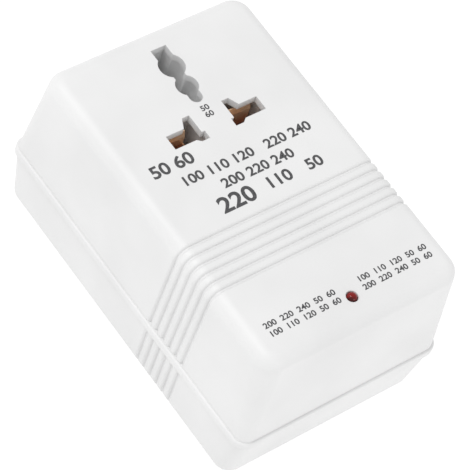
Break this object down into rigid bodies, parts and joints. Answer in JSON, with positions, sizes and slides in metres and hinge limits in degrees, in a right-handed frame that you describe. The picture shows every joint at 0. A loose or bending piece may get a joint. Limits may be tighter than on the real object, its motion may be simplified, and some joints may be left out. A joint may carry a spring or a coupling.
{
  "type": "travel voltage converter",
  "caption": "Box-shaped travel voltage converter with a multi-standard socket, indicator lamp, voltage selector and folding plug.",
  "frame": {"origin": "centre of the flat back, on the plane that the converter lies on", "axes": "+Z from the back to the socket face, +Y to the socket end, +X to the side with the voltage selector"},
  "size_m": [0.0688, 0.1096, 0.0547],
  "materials": {
    "casing": "fine satin, moulded",
    "inner_moulding": "satin, moulded",
    "copper": "rolled copper strip",
    "zinc_steel": "zinc plated",
    "lamp_red": "tinted clear resin",
    "tinned_wire": "tinned",
    "circuit_board": "phenolic paper board",
    "resistor_body": "lacquered",
    "black_plastic": "moulded",
    "wire_red": "insulation",
    "wire_brown": "insulation",
    "wire_blue": "insulation",
    "core_steel": "stacked sheet, oiled",
    "bobbin_plastic": "nylon",
    "brass": "bright",
    "enamelled_copper": "enamelled wire, wound tight",
    "coil_tape": "polyester tape",
    "selector_red": "moulded"
  },
  "bodies": {
    "case": {"front_shell": "casing", "rear_shell": "casing", "socket_carrier": "inner_moulding", "line_contact": "copper", "neutral_contact": "copper", "case_screws": "zinc_steel", "carrier_screws": "zinc_steel", "lamp": "lamp_red", "lamp_leads": "tinned_wire", "lamp_board": "circuit_board", "lamp_resistor": "resistor_body", "lamp_diode": "black_plastic", "lamp_wires": "wire_red", "e_laminations": "core_steel", "i_laminations": "core_steel", "core_clamps": "zinc_steel", "core_screws": "zinc_steel", "bobbin": "bobbin_plastic", "bobbin_terminals": "brass", "inner_winding": "enamelled_copper", "outer_winding": "enamelled_copper", "coil_tape": "coil_tape", "thermal_cutoff": "zinc_steel", "plug_clips": "copper", "detent_spring": "zinc_steel", "plug_cover": "black_plastic", "plug_cover_screws": "zinc_steel", "selector_housing": "black_plastic", "selector_lugs": "brass", "selector_screws": "zinc_steel", "input_line_wire": "wire_brown", "input_neutral_wire": "wire_blue", "output_line_wire": "wire_brown", "output_neutral_wire": "wire_blue", "low_tap_wire": "wire_red", "high_tap_wire": "wire_red"},
    "plug": {"plug_barrel": "black_plastic", "line_blade": "brass", "neutral_blade": "brass", "plug_pivots": "brass"},
    "selector": {"selector_knob": "selector_red", "selector_bridge": "copper"}
  },
  "joints": [
    {"name": "plug_fold", "type": "hinge", "parent": "case", "child": "plug", "pos_m": [0, 0.01, 0.0046], "axis": [-1, 0, 0], "range_deg": [0, 90]},
    {"name": "selector_slide", "type": "slide", "parent": "case", "child": "selector", "axis": [0, 1, 0], "range_m": [0, 0.005]}
  ]
}
